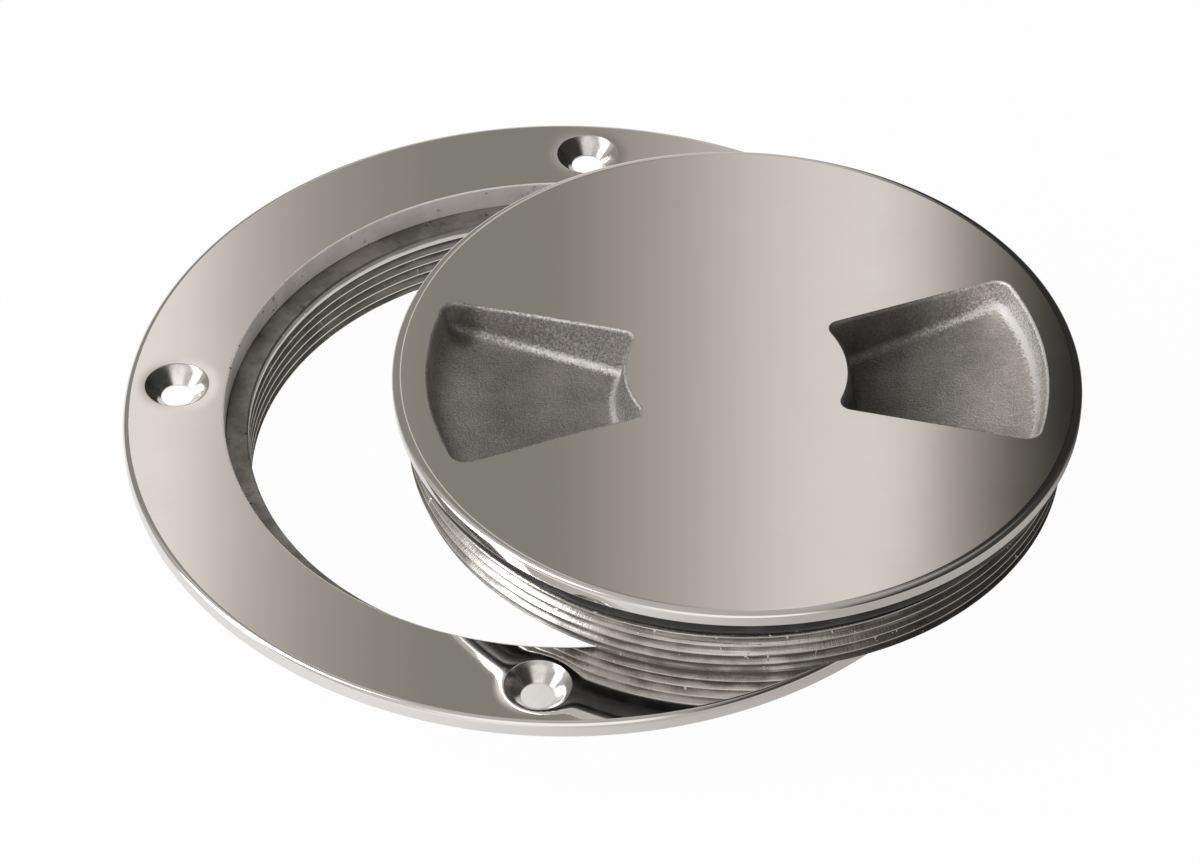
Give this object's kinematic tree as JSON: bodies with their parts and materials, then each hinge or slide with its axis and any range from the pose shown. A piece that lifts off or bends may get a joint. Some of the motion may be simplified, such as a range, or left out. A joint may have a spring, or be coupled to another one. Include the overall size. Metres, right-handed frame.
{
  "type": "deck inspection plate",
  "caption": "Round polished stainless deck inspection plate: a flanged threaded ring with a screw-in lid that has finger wells, unscrewed and laid over the opening.",
  "frame": {"origin": "on the axis of the threaded ring, in the plane of the flange's underside, where the flange meets the deck", "axes": "+Z out of the deck along the ring's axis, +X through one screw hole, roughly towards the side on which the lid lies"},
  "size_m": [0.1616, 0.15, 0.0324],
  "materials": {
    "ring_steel": "mirror polished cast stainless steel, duller inside the collar",
    "lid_steel": "mirror polished cast stainless steel, as cast in the finger wells",
    "seal_rubber": "black rubber"
  },
  "bodies": {
    "root": {"threaded_ring": "ring_steel", "screw_lid": "lid_steel", "seal_ring": "seal_rubber"}
  },
  "joints": []
}
